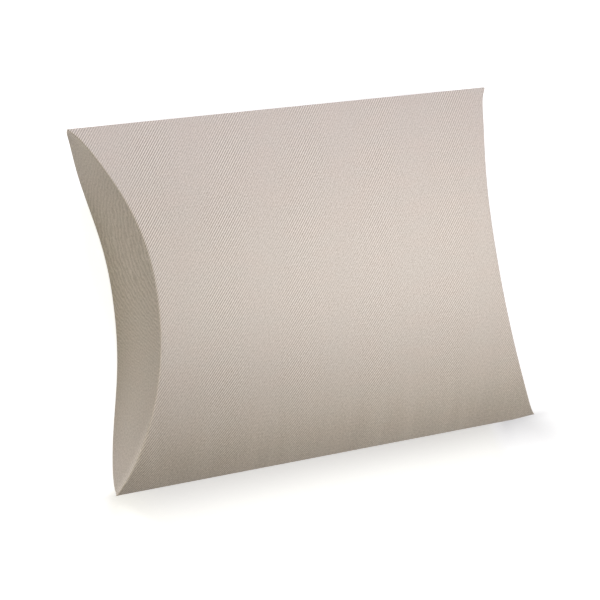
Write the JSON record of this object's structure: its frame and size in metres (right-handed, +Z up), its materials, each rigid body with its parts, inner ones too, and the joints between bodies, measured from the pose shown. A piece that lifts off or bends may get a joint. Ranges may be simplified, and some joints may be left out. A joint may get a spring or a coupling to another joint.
{
  "type": "favor box",
  "caption": "Pillow-shaped favor box of embossed card, with two curved panels and a pair of curved lens-shaped flaps at each end.",
  "frame": {"origin": "centre of the flat strip along the back panel, on which the box rests", "axes": "+X along the length, towards the right end; +Y across the width, away from the glued fold; +Z up through the front panel"},
  "size_m": [0.1396, 0.1022, 0.0316],
  "materials": {
    "card": "fine slanting embossed ribs, soft silk sheen",
    "glue": "dried translucent adhesive"
  },
  "bodies": {
    "sleeve": {"front_panel": "card", "back_panel": "card", "glue_tab": "card", "glue_line": "glue"},
    "left_outer": {"left_outer_flap": "card"},
    "left_inner": {"left_inner_flap": "card"},
    "right_outer": {"right_outer_flap": "card"},
    "right_inner": {"right_inner_flap": "card"}
  },
  "joints": [
    {"name": "left_outer_fold", "type": "hinge", "parent": "sleeve", "child": "left_outer", "pos_m": [-0.0555, 0, 0.0314], "axis": [0, 1, 0], "range_deg": [0, 100]},
    {"name": "left_inner_fold", "type": "hinge", "parent": "sleeve", "child": "left_inner", "pos_m": [-0.05485, 0, 0.0002], "axis": [0, -1, 0], "range_deg": [0, 90]},
    {"name": "right_outer_fold", "type": "hinge", "parent": "sleeve", "child": "right_outer", "pos_m": [0.0555, 0, 0.0314], "axis": [0, -1, 0], "range_deg": [0, 100]},
    {"name": "right_inner_fold", "type": "hinge", "parent": "sleeve", "child": "right_inner", "pos_m": [0.05485, 0, 0.0002], "axis": [0, 1, 0], "range_deg": [0, 90]}
  ],
  "couplings": [
    {"joint": "left_inner_fold", "follows": "left_outer_fold", "ratio": 0.9},
    {"joint": "right_inner_fold", "follows": "right_outer_fold", "ratio": 0.9}
  ]
}
